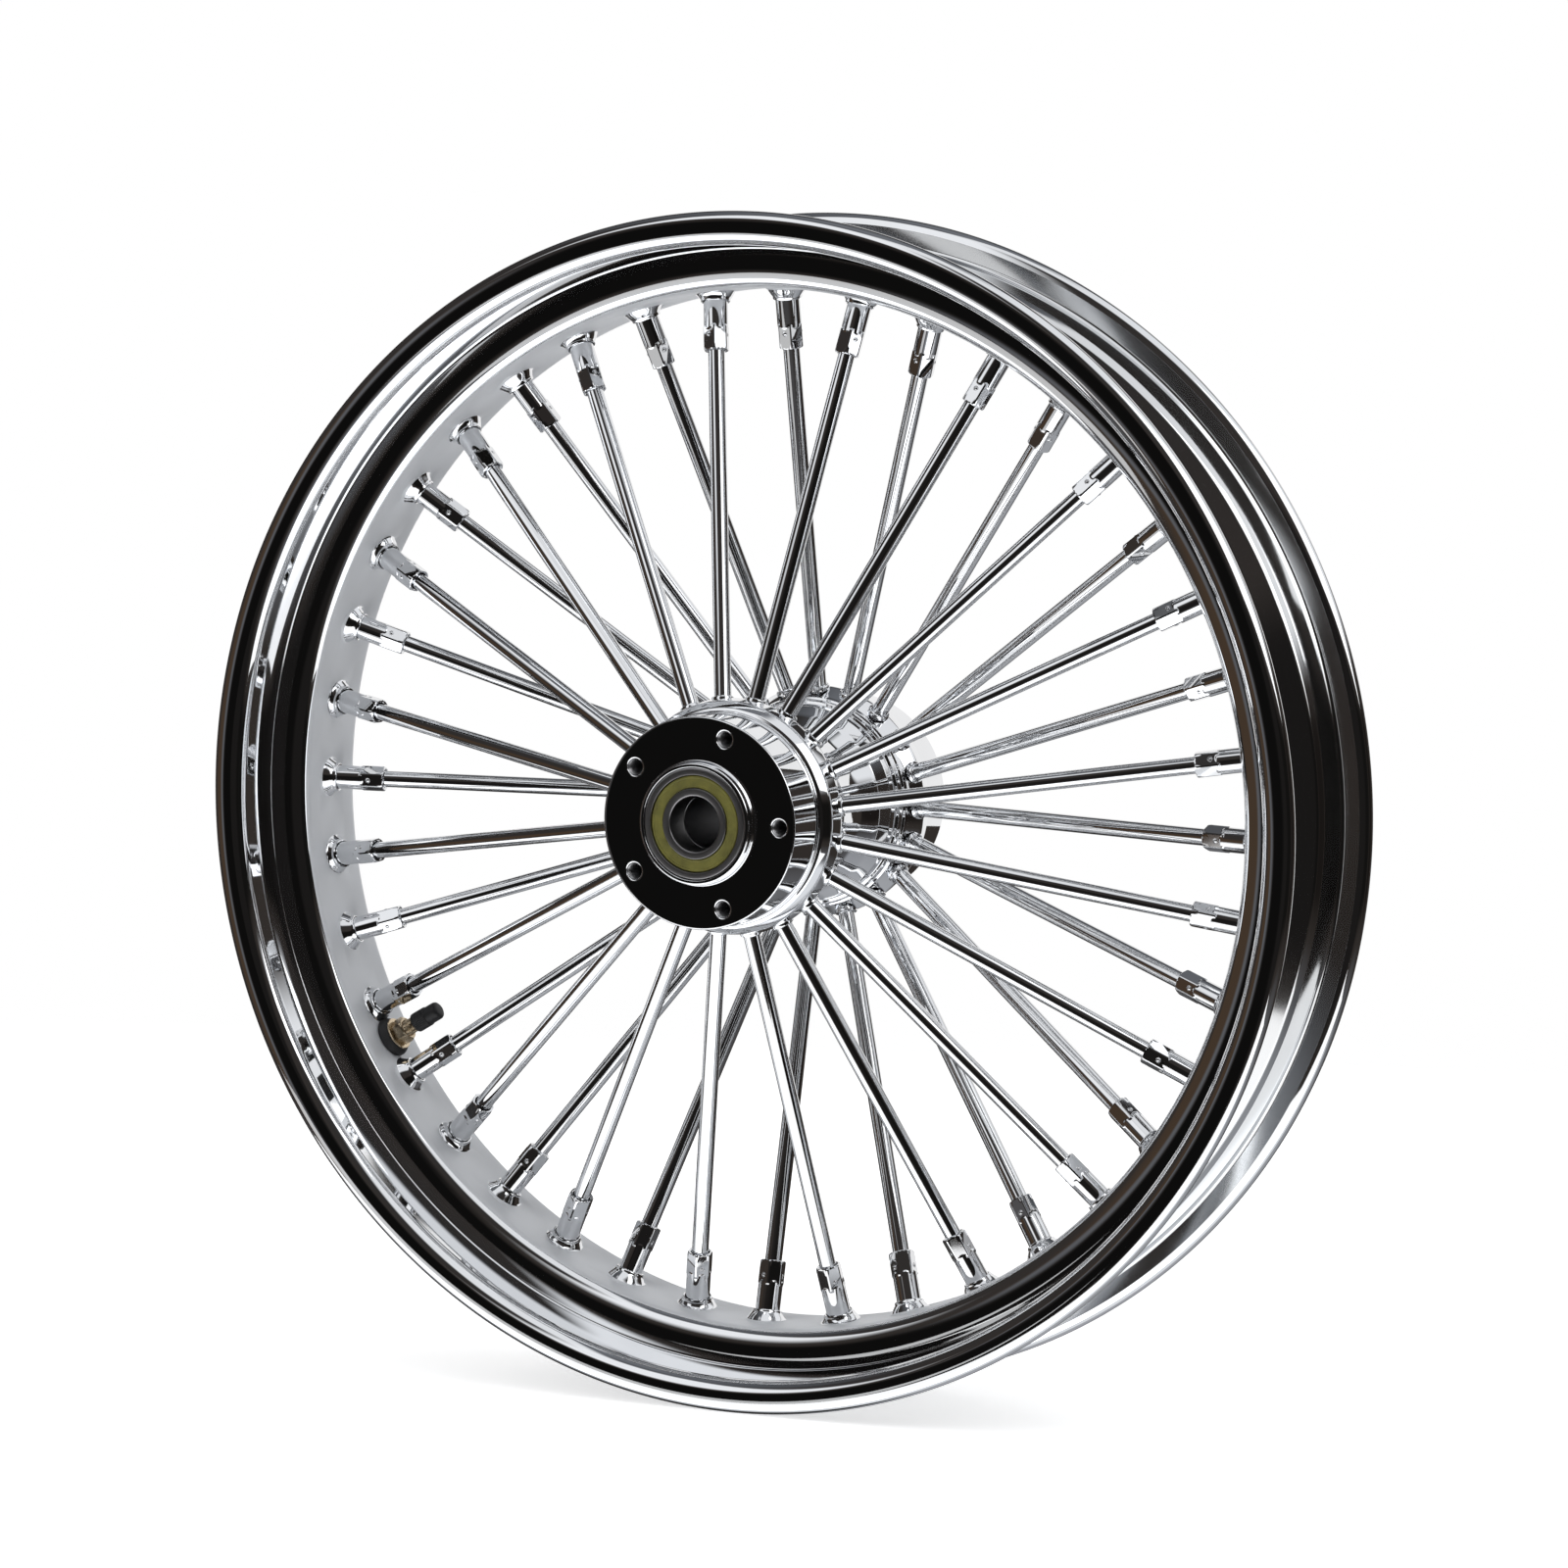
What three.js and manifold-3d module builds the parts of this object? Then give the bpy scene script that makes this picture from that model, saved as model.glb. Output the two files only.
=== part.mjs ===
// Spoked front wheel of a motorcycle, 21 x 3.50 inches, with forty straight radial spokes.
// Millimetres, +Z up. The origin is the wheel's centre and +Y is the axle line.
// Angles around the axle run from +X towards +Z; "side" is -1 for the front face, +1 for the rear.
import * as THREE from "three";
import { mergeVertices } from "three/addons/utils/BufferGeometryUtils.js";
import Module from "manifold-3d";

const wasm = await Module();
wasm.setup();

// ---------- driving dimensions ----------
const FRONT = -1;
const REAR = 1;
const RIM_SEGMENTS = 40;
const HUB_SEGMENTS = 32;
const RING_SEGMENTS = 20;
const FIT_GAP = 0.3;

// Rim: rolled steel sheet, drop-centre well, 5 degree bead seats and rolled lips.
const LIP_RADIUS = 281;
const LIP_CREST_Y = 49;
const LIP_ROLL_RADIUS = 4.4;
const BEAD_WIDTH = 88.9;
const BEAD_SEAT_RADIUS = 267.2;
const WELL_RADIUS = 245.4;
const WELL_HALF_WIDTH = 16;
const SHEET = 2.6;
const RIM_SEAM_DEG = 5.75; // puts every spoke boss in the middle of one facet of the well

// Lacing: twenty spokes a side, every nine degrees from alternate sides.
const SPOKES_PER_SIDE = 20;
const SPOKE_STEP_DEG = 9;
const FIRST_REAR_SPOKE_DEG = 214.75;
const SPOKE_RADIUS = 4.0;
const SPOKE_HUB_END = 47.5;
const SPOKE_HUB_RADIUS = 55;
const SPOKE_HUB_Y = 42.05;
const SPOKE_RIM_RADIUS = 241;
const SPOKE_RIM_Y = 0;

// Nipples: hexagon towards the hub, round shank through the rim, domed head inside the tyre well.
const NIPPLE_HEX_START = 218;
const NIPPLE_HEX_END = 229;
const NIPPLE_HEX_RADIUS = 6.3;
const NIPPLE_SHANK_RADIUS = 5.9;
const NIPPLE_HEAD_START = 250.2;
const NIPPLE_HEAD_END = 254.2;
const NIPPLE_HEAD_RADIUS = 7.4;
const BOSS_TOP_RADIUS = 8.1;
const BOSS_BASE_RADIUS = 10.6;
const BOSS_TOP_AT = 241.4;

// Hub shell.
const DISC_FACE_Y = 81.5;
const DISC_FACE_RADIUS = 49.5;
const BOSS_FACE_Y = 86.5;
const HUB_BOSS_RADIUS = 28.3;
const SPOKE_RING_RADIUS = 55.1;
const BOLT_CIRCLE_RADIUS = 41.275;
const BOLT_COUNT = 5;
const BOLT_HOLE_RADIUS = 3.6;
const BOLT_CHAMFER_RADIUS = 5.2;
const BOLT_HOLE_DEPTH = 19;
const BOLT_START_DEG = -0.8;

// Bearings: 25 x 52 x 15 mm, nine balls, a contact seal on each face.
const BEARING_BORE_RADIUS = 12.7;
const BEARING_OUTER_RADIUS = 26;
const BEARING_WIDTH = 15;
const BEARING_FACE_Y = 86;
const BALL_COUNT = 9;
const BALL_RADIUS = 3.97;
const BALL_PITCH_RADIUS = 19.25;
const INNER_LAND_RADIUS = 16.5;
const OUTER_LAND_RADIUS = 22.25;
const SPACER_OUTER_RADIUS = 15.6;

// Tyre valve, midway between two spokes, pointing at the hub.
const VALVE_DEG = 210;
const VALVE_STEM_RADIUS = 3.85;

// ---------- materials ----------
function finish(color, roughness, metalness) {
  return new THREE.MeshStandardMaterial({ color, roughness, metalness });
}
const chrome = finish(0xd8dadd, 0.06, 1.0);
const bearingSteel = finish(0x77777a, 0.35, 1.0);
const ballSteel = finish(0xb8babd, 0.12, 1.0);
const sealRubber = finish(0x5b5620, 0.6, 0.0);
const spacerSteel = finish(0x8a8b8c, 0.45, 1.0);
const brass = finish(0x9c8254, 0.35, 1.0);
const blackRubber = finish(0x1a1a1b, 0.7, 0.0);
const blackPlastic = finish(0x151516, 0.45, 0.0);

// ---------- solids ----------
const radians = THREE.MathUtils.degToRad;
const wheel = new THREE.Group();

// Keeps position only, merges shared corners and turns the faces outward.
function closedGeometry(source) {
  const stripped = source.clone();
  for (const name of ["normal", "uv"]) stripped.deleteAttribute(name);
  const merged = mergeVertices(stripped, 1e-4);
  const used = [];
  for (let i = 0; i < merged.index.count; i += 3) {
    const corners = [0, 1, 2].map((k) => merged.index.getX(i + k));
    if (new Set(corners).size === 3) used.push(...corners);
  }
  merged.setIndex(used);
  if (signedVolume(merged) < 0) merged.setIndex(used.reverse());
  return merged;
}

function signedVolume(geometry) {
  const corner = [new THREE.Vector3(), new THREE.Vector3(), new THREE.Vector3()];
  let total = 0;
  for (let i = 0; i < geometry.index.count; i += 3) {
    corner.forEach((v, k) => v.fromBufferAttribute(geometry.attributes.position, geometry.index.getX(i + k)));
    total += corner[0].dot(corner[1].cross(corner[2])) / 6;
  }
  return total;
}

function toSolid(geometry) {
  const closed = closedGeometry(geometry);
  const mesh = new wasm.Mesh({
    numProp: 3,
    vertProperties: new Float32Array(closed.attributes.position.array),
    triVerts: new Uint32Array(closed.index.array),
  });
  return new wasm.Manifold(mesh);
}

function toGeometry(solid) {
  const mesh = solid.getMesh();
  const geometry = new THREE.BufferGeometry();
  geometry.setAttribute("position", new THREE.BufferAttribute(new Float32Array(mesh.vertProperties), 3));
  geometry.setIndex(new THREE.BufferAttribute(new Uint32Array(mesh.triVerts), 1));
  return geometry;
}

function add(name, geometry, material) {
  const mesh = new THREE.Mesh(closedGeometry(geometry), material);
  mesh.name = name;
  wheel.add(mesh);
  return mesh;
}

// A turned piece about +Y from [radius, y] points; the outline closes on itself.
function turned(outline, segments, startDeg = 0) {
  const points = [...outline, outline[0]].map(([radius, y]) => new THREE.Vector2(radius, y));
  return new THREE.LatheGeometry(points, segments, radians(startDeg));
}

// A turned piece about +Y whose outline starts and ends on the axis.
function turnedSolid(outline, segments) {
  const points = outline.map(([radius, y]) => new THREE.Vector2(radius, y));
  return new THREE.LatheGeometry(points, segments);
}

// The rear half of a symmetric outline, and its mirror image on the front side.
function mirrored(half) {
  return [...half, ...half.map(([radius, y]) => [radius, -y]).reverse()];
}

// Stands a piece that was turned about +Y on the line from one point towards another.
function placeAlong(object, start, target) {
  const direction = target.clone().sub(start).normalize();
  const turn = new THREE.Quaternion().setFromUnitVectors(new THREE.Vector3(0, 1, 0), direction);
  return object.applyMatrix4(new THREE.Matrix4().compose(start, turn, new THREE.Vector3(1, 1, 1)));
}

function wheelPoint(radius, angleDeg, y) {
  const angle = radians(angleDeg);
  return new THREE.Vector3(radius * Math.cos(angle), y, radius * Math.sin(angle));
}

// ---------- lacing ----------
const SPOKE_SLOPE = (SPOKE_RIM_Y - SPOKE_HUB_Y) / (SPOKE_RIM_RADIUS - SPOKE_HUB_RADIUS);

// A point on a spoke's centre line at a given distance from the axle.
function spokePoint(radius, angleDeg, side) {
  return wheelPoint(radius, angleDeg, side * (SPOKE_HUB_Y + (radius - SPOKE_HUB_RADIUS) * SPOKE_SLOPE));
}

function spokeAngles(side) {
  const first = side === REAR ? FIRST_REAR_SPOKE_DEG : FIRST_REAR_SPOKE_DEG - SPOKE_STEP_DEG;
  return Array.from({ length: SPOKES_PER_SIDE }, (_, i) => first + i * 2 * SPOKE_STEP_DEG);
}

const lacing = [FRONT, REAR].flatMap((side) => spokeAngles(side).map((angle, i) => ({ side, angle, i })));

// Distance along a spoke from its hub end to the place where it is at this radius.
function alongSpoke(radius) {
  return (radius - SPOKE_HUB_END) * Math.hypot(1, SPOKE_SLOPE);
}

// A six-sided tool or pad on a spoke's centre line, as [radius, distance from axle] points.
function onSpoke(outline, angle, side) {
  const points = outline.map(([radius, at]) => [radius, alongSpoke(at)]);
  const piece = turnedSolid(points, 6);
  return placeAlong(piece, spokePoint(SPOKE_HUB_END, angle, side), spokePoint(SPOKE_RIM_RADIUS, angle, side));
}

// ---------- rim ----------
function rimOutline() {
  const lipCentre = LIP_RADIUS - LIP_ROLL_RADIUS;
  const half = [
    [WELL_RADIUS, WELL_HALF_WIDTH],
    [WELL_RADIUS + 2.6, WELL_HALF_WIDTH + 6.2],
    [WELL_RADIUS + 8, WELL_HALF_WIDTH + 8.8],
    [BEAD_SEAT_RADIUS - 5, 26.2],
    [BEAD_SEAT_RADIUS - 3.6, 28.4],
    [BEAD_SEAT_RADIUS - 2.4, BEAD_WIDTH / 2 + 1.4],
    [BEAD_SEAT_RADIUS - 0.4, 51],
    [lipCentre - 5.5, LIP_CREST_Y + 4],
    [lipCentre, LIP_CREST_Y + LIP_ROLL_RADIUS],
    [lipCentre + 3.3, LIP_CREST_Y + 3.1],
    [LIP_RADIUS, LIP_CREST_Y],
    [lipCentre + 2.6, BEAD_WIDTH / 2 + 0.5],
    [BEAD_SEAT_RADIUS + 2.2, BEAD_WIDTH / 2],
    [BEAD_SEAT_RADIUS, BEAD_WIDTH / 2 - 1.8],
    [BEAD_SEAT_RADIUS - 1.6, 25.2],
    [WELL_RADIUS + SHEET + 3, WELL_HALF_WIDTH + 4.6],
    [WELL_RADIUS + SHEET, WELL_HALF_WIDTH - 0.6],
  ];
  return mirrored(half);
}

function rimGeometry() {
  let rim = toSolid(turned(rimOutline(), RIM_SEGMENTS, RIM_SEAM_DEG));
  for (const { side, angle } of lacing) {
    const y = spokePoint(SPOKE_RIM_RADIUS, angle, side).y;
    const pad = turnedSolid([[0, 0], [BOSS_TOP_RADIUS, 0], [BOSS_BASE_RADIUS, 5], [0, 5]], 6);
    rim = rim.add(toSolid(placeAlong(pad, wheelPoint(BOSS_TOP_AT, angle, y), wheelPoint(LIP_RADIUS, angle, y))));
  }
  for (const { side, angle } of lacing) {
    const wall = NIPPLE_SHANK_RADIUS + FIT_GAP + 0.1;
    rim = rim.subtract(toSolid(onSpoke([[0, 236], [wall, 236], [wall, 258], [0, 258]], angle, side)));
  }
  const valveHole = turnedSolid([[0, 0], [6.1, 0], [6.1, 20], [0, 20]], 12);
  const holeStart = wheelPoint(WELL_RADIUS - 10, VALVE_DEG, 0);
  rim = rim.subtract(toSolid(placeAlong(valveHole, holeStart, wheelPoint(LIP_RADIUS, VALVE_DEG, 0))));
  return toGeometry(rim);
}
add("rim", rimGeometry(), chrome);

// ---------- hub ----------
function hubOutline() {
  const seat = BEARING_OUTER_RADIUS + FIT_GAP;
  const shoulder = BEARING_FACE_Y - BEARING_WIDTH - FIT_GAP;
  const half = [
    [23.6, shoulder - 7],
    [23.6, shoulder],
    [seat, shoulder],
    [seat, BOSS_FACE_Y],
    [HUB_BOSS_RADIUS - 0.8, BOSS_FACE_Y],
    [HUB_BOSS_RADIUS, BOSS_FACE_Y - 1],
    [HUB_BOSS_RADIUS, DISC_FACE_Y],
    [DISC_FACE_RADIUS - 0.9, DISC_FACE_Y],
    [DISC_FACE_RADIUS, DISC_FACE_Y - 0.9],
    [DISC_FACE_RADIUS, 57],
    [SPOKE_RING_RADIUS - 2.4, 54.8],
    [SPOKE_RING_RADIUS - 0.7, 51.8],
    [SPOKE_RING_RADIUS, 48.5],
    [SPOKE_RING_RADIUS, 39.4],
    [SPOKE_RING_RADIUS - 2.8, 37.2],
    [49, 34.8],
    [46.8, 29.6],
    [41, 20],
    [39, 9],
  ];
  return mirrored([[28, 50], ...half]);
}

function hubGeometry() {
  let hub = toSolid(turned(hubOutline(), HUB_SEGMENTS));
  for (const { side, angle } of lacing) {
    const wall = SPOKE_RADIUS + 0.4 + FIT_GAP;
    const bottom = SPOKE_HUB_END - 1;
    hub = hub.subtract(toSolid(onSpoke([[0, bottom], [wall, bottom], [wall, 64], [0, 64]], angle, side)));
  }
  for (const side of [FRONT, REAR]) {
    for (let i = 0; i < BOLT_COUNT; i += 1) {
      const angle = BOLT_START_DEG + (i * 360) / BOLT_COUNT;
      const drill = turnedSolid([
        [0, 0],
        [BOLT_HOLE_RADIUS, 2],
        [BOLT_HOLE_RADIUS, BOLT_HOLE_DEPTH - 1.6],
        [BOLT_CHAMFER_RADIUS, BOLT_HOLE_DEPTH],
        [BOLT_CHAMFER_RADIUS, BOLT_HOLE_DEPTH + 4],
        [0, BOLT_HOLE_DEPTH + 4],
      ], 8);
      const bottom = wheelPoint(BOLT_CIRCLE_RADIUS, angle, side * (DISC_FACE_Y - BOLT_HOLE_DEPTH));
      const mouth = wheelPoint(BOLT_CIRCLE_RADIUS, angle, side * DISC_FACE_Y);
      hub = hub.subtract(toSolid(placeAlong(drill, bottom, mouth)));
    }
  }
  return toGeometry(hub);
}
add("hub_body", hubGeometry(), chrome);

// ---------- spokes, each with its nipple ----------
const spokeOutline = [
  [0, SPOKE_HUB_END],
  [SPOKE_RADIUS + 0.4, SPOKE_HUB_END],
  [SPOKE_RADIUS + 0.4, NIPPLE_HEX_START],
  [NIPPLE_HEX_RADIUS, NIPPLE_HEX_START],
  [NIPPLE_HEX_RADIUS, NIPPLE_HEX_END],
  [NIPPLE_SHANK_RADIUS, NIPPLE_HEX_END],
  [NIPPLE_SHANK_RADIUS, NIPPLE_HEAD_START],
  [NIPPLE_HEAD_RADIUS, NIPPLE_HEAD_START],
  [NIPPLE_HEAD_RADIUS - 1.6, NIPPLE_HEAD_END - 0.8],
  [0, NIPPLE_HEAD_END],
];
for (const { side, angle, i } of lacing) {
  const row = side === FRONT ? "front" : "rear";
  const name = `spoke_${row}_${String(i + 1).padStart(2, "0")}`;
  add(name, onSpoke(spokeOutline, angle, side), chrome);
}

// ---------- wheel bearings ----------
// Outlines are for the rear bearing and are mirrored for the front one.
function bearingPiece(name, outline, side, material) {
  const points = outline.map(([radius, y]) => [radius, side * y]);
  add(`${side === FRONT ? "front" : "rear"}_bearing_${name}`, turned(points, RING_SEGMENTS), material);
}

const bearingInnerFace = BEARING_FACE_Y - BEARING_WIDTH;
const bearingMiddle = BEARING_FACE_Y - BEARING_WIDTH / 2;
const grooveHalf = 3.2;
const grooveGap = 0.25;

function ballSetGeometry(side) {
  const middle = side * bearingMiddle;
  const cageBand = [[-1.1, 0.4], [1.1, 0.4], [1.1, 2.6], [-1.1, 2.6]];
  const cage = cageBand.map(([out, over]) => [BALL_PITCH_RADIUS + out, middle + side * over]);
  let set = toSolid(turned(cage, RING_SEGMENTS));
  for (let i = 0; i < BALL_COUNT; i += 1) {
    const ball = new THREE.SphereGeometry(BALL_RADIUS - 0.2, 6, 4);
    const centre = wheelPoint(BALL_PITCH_RADIUS, (i * 360) / BALL_COUNT, middle);
    ball.translate(centre.x, centre.y, centre.z);
    set = set.add(toSolid(ball));
  }
  return toGeometry(set);
}

for (const side of [FRONT, REAR]) {
  bearingPiece("outer_ring", [
    [OUTER_LAND_RADIUS, bearingInnerFace],
    [BEARING_OUTER_RADIUS, bearingInnerFace],
    [BEARING_OUTER_RADIUS, BEARING_FACE_Y],
    [OUTER_LAND_RADIUS, BEARING_FACE_Y],
    [OUTER_LAND_RADIUS, bearingMiddle + grooveHalf],
    [BALL_PITCH_RADIUS + BALL_RADIUS + grooveGap, bearingMiddle + 1.2],
    [BALL_PITCH_RADIUS + BALL_RADIUS + grooveGap, bearingMiddle - 1.2],
    [OUTER_LAND_RADIUS, bearingMiddle - grooveHalf],
  ], side, bearingSteel);
  bearingPiece("inner_ring", [
    [BEARING_BORE_RADIUS, bearingInnerFace],
    [INNER_LAND_RADIUS, bearingInnerFace],
    [INNER_LAND_RADIUS, bearingMiddle - grooveHalf],
    [BALL_PITCH_RADIUS - BALL_RADIUS - grooveGap, bearingMiddle - 1.2],
    [BALL_PITCH_RADIUS - BALL_RADIUS - grooveGap, bearingMiddle + 1.2],
    [INNER_LAND_RADIUS, bearingMiddle + grooveHalf],
    [INNER_LAND_RADIUS, BEARING_FACE_Y],
    [BEARING_BORE_RADIUS, BEARING_FACE_Y],
  ], side, bearingSteel);
  for (const [name, at] of [["outer_seal", BEARING_FACE_Y - 1.6], ["inner_seal", bearingInnerFace + 0.6]]) {
    bearingPiece(name, [
      [INNER_LAND_RADIUS + FIT_GAP, at],
      [OUTER_LAND_RADIUS - FIT_GAP, at],
      [OUTER_LAND_RADIUS - FIT_GAP, at + 1],
      [INNER_LAND_RADIUS + FIT_GAP, at + 1],
    ], side, sealRubber);
  }
  add(`${side === FRONT ? "front" : "rear"}_bearing_ball_set`, ballSetGeometry(side), ballSteel);
}

// The tube that holds the two inner rings apart on the axle.
const spacerEnd = bearingInnerFace - FIT_GAP;
add("bearing_spacer_tube", turned([
  [BEARING_BORE_RADIUS, -spacerEnd],
  [SPACER_OUTER_RADIUS, -spacerEnd],
  [SPACER_OUTER_RADIUS, spacerEnd],
  [BEARING_BORE_RADIUS, spacerEnd],
], RING_SEGMENTS), spacerSteel);

// ---------- tyre valve ----------
// Outlines are [radius from the stem's line, distance from the axle].
function valvePiece(name, outline, segments, material, hollow) {
  const make = hollow ? turned : turnedSolid;
  const piece = make(outline, segments);
  add(name, placeAlong(piece, wheelPoint(0, VALVE_DEG, 0), wheelPoint(1, VALVE_DEG, 0)), material);
}

const GROMMET_BORE = VALVE_STEM_RADIUS + FIT_GAP;
const NUT_BORE = GROMMET_BORE / Math.cos(Math.PI / 6);
const WELL_BACK = WELL_RADIUS + SHEET;
valvePiece("valve_grommet", [
  [GROMMET_BORE, 240.4],
  [7.6, 240.4],
  [9.8, 242.4],
  [9.8, WELL_RADIUS - 1.1],
  [5.6, WELL_RADIUS - 1.1],
  [5.6, WELL_BACK + 0.5],
  [8.4, WELL_BACK + 0.5],
  [8.4, WELL_BACK + 2.6],
  [GROMMET_BORE, WELL_BACK + 2.6],
], 16, blackRubber, true);
valvePiece("valve_stem", [
  [2.6, 216],
  [VALVE_STEM_RADIUS, 216],
  [VALVE_STEM_RADIUS, 251],
  [7.6, 251],
  [7.6, 252.8],
  [2.6, 252.8],
], 12, brass, true);
valvePiece("valve_nut", [
  [NUT_BORE, 233.6],
  [6.4, 233.6],
  [7.3, 234.6],
  [7.3, 240.1],
  [NUT_BORE, 240.1],
], 6, brass, true);
valvePiece("valve_core", [
  [1.3, 218],
  [2.3, 218],
  [2.3, 226],
  [1.3, 226],
], 12, brass, true);
valvePiece("valve_core_pin", [
  [0, 216.4],
  [0.9, 216.4],
  [0.9, 226.3],
  [2.1, 226.3],
  [2.1, 228],
  [0, 228],
], 12, brass, false);
valvePiece("valve_cap", [
  [0, 213.2],
  [3.9, 213.2],
  [4.9, 214.2],
  [4.9, 228.4],
  [GROMMET_BORE, 228.4],
  [GROMMET_BORE, 214.9],
  [0, 214.9],
], 12, blackPlastic, false);

export default wheel;
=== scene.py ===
import math
import random

import bmesh
import bpy
from mathutils import Matrix, Vector


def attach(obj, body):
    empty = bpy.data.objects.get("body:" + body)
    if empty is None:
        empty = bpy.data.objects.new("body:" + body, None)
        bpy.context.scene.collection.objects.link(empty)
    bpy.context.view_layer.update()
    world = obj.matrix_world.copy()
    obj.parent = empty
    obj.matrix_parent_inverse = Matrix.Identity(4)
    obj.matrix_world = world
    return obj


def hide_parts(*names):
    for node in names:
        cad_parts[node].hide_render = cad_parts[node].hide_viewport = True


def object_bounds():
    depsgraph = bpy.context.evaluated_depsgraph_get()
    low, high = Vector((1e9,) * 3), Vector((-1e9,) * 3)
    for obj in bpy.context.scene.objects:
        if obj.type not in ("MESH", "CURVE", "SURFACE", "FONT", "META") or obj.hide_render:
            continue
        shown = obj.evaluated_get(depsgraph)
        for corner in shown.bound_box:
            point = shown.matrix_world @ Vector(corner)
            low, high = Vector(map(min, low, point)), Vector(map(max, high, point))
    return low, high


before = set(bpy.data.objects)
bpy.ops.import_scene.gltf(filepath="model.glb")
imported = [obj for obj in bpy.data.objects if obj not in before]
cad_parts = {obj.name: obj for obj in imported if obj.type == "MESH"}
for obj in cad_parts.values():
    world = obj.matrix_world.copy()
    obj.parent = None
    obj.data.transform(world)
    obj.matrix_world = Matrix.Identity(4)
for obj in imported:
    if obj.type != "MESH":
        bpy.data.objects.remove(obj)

cad_box = [list(corner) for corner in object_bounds()]
mm = 0.001


# ---- The viewpoint ----
# The wheel is seen from the right of its front face and from just above the axle,
# through a long lens, so that the rim's far side hardly shrinks.
def direction_from(azimuth_deg, elevation_deg):
    around, up = math.radians(azimuth_deg), math.radians(elevation_deg)
    return Vector((math.sin(around) * math.cos(up), -math.cos(around) * math.cos(up), math.sin(up)))


view_distance = 2.685
view_back = direction_from(26.5, 5.45)
view_right = Vector((0, 0, 1)).cross(view_back).normalized()
view_up = view_back.cross(view_right)
aim_right, aim_up = 0.00116, 0.00425

camera_data = bpy.data.cameras.new("camera")
camera_data.sensor_width = 36
camera_data.lens = 130.3
camera_data.clip_start = 0.05
camera = bpy.data.objects.new("camera", camera_data)
bpy.context.collection.objects.link(camera)
camera.location = view_back * view_distance
looking = -view_back + view_right * aim_right + view_up * aim_up
camera.rotation_euler = looking.to_track_quat("-Z", "Y").to_euler()
bpy.context.scene.camera = camera


# ---- The studio ----
# A white room with a dark belt at the height of the horizon and light and dark cards
# round the wheel: chrome shows its white, black and grey bands only when it has these.
def add_node(tree, kind, **settings):
    made = tree.nodes.new(kind)
    for name, value in settings.items():
        if name in made.inputs:
            made.inputs[name].default_value = value
        else:
            setattr(made, name, value)
    return made


def link(tree, source, output, target, entry):
    tree.links.new(source.outputs[output], target.inputs[entry])


def ramp(tree, stops):
    made = tree.nodes.new("ShaderNodeValToRGB")
    points = made.color_ramp.elements
    while len(points) < len(stops):
        points.new(0.5)
    for point, (place, colour) in zip(points, stops):
        point.position = place
        point.color = (*colour, 1)
    return made


def height_stop(elevation_deg):
    return 0.5 + 0.5 * math.sin(math.radians(elevation_deg))


world = bpy.data.worlds.new("studio")
world.use_nodes = True
bpy.context.scene.world = world
room = world.node_tree
room.nodes.clear()
where = add_node(room, "ShaderNodeTexCoord")
split = add_node(room, "ShaderNodeSeparateXYZ")
link(room, where, "Generated", split, "Vector")


def world_math(operation, first, second=0.0):
    made = add_node(room, "ShaderNodeMath", operation=operation)
    for entry, value in enumerate((first, second)):
        if isinstance(value, bpy.types.NodeSocket):
            room.links.new(value, made.inputs[entry])
        else:
            made.inputs[entry].default_value = value
    return made.outputs[0]


def soft_step(value, low, high):
    made = add_node(room, "ShaderNodeMapRange", interpolation_type="SMOOTHSTEP")
    made.inputs["From Min"].default_value = low
    made.inputs["From Max"].default_value = high
    room.links.new(value, made.inputs["Value"])
    return made.outputs["Result"]


towards_front = world_math("MULTIPLY", split.outputs["Y"], -1.0)
turned_by = world_math("ARCTAN2", split.outputs["X"], towards_front)
around = world_math("MULTIPLY", turned_by, 180 / math.pi)
upward = world_math("MULTIPLY", world_math("ARCSINE", split.outputs["Z"]), 180 / math.pi)
belt = ramp(room, [
    (height_stop(-70), (0.40, 0.41, 0.43)),
    (height_stop(-42), (0.30, 0.31, 0.33)),
    (height_stop(-30), (0.10, 0.10, 0.105)),
    (height_stop(-22), (0.034, 0.029, 0.026)),
    (height_stop(-3), (0.038, 0.031, 0.027)),
    (height_stop(40), (0.034, 0.031, 0.030)),
    (height_stop(60), (0.10, 0.105, 0.115)),
    (height_stop(80), (0.17, 0.178, 0.195)),
])
height = add_node(room, "ShaderNodeMapRange")
height.inputs["From Min"].default_value = -1
link(room, split, "Z", height, "Value")
link(room, height, "Result", belt, "Fac")
shade = belt.outputs["Color"]


def room_patch(shade, azimuth, half_width, low, high, edge, colour):
    """Paints one soft-edged card or opening of the room over what is behind it."""
    over = world_math("ABSOLUTE", world_math("SUBTRACT", around, azimuth))
    mask = world_math("MULTIPLY", soft_step(over, half_width + edge, half_width - edge),
                      world_math("MULTIPLY", soft_step(upward, low - edge, low + edge),
                                 soft_step(upward, high + edge, high - edge)))
    mixed = add_node(room, "ShaderNodeMixRGB", Color2=(*colour, 1))
    room.links.new(mask, mixed.inputs["Fac"])
    room.links.new(shade, mixed.inputs["Color1"])
    return mixed.outputs["Color"]


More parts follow.
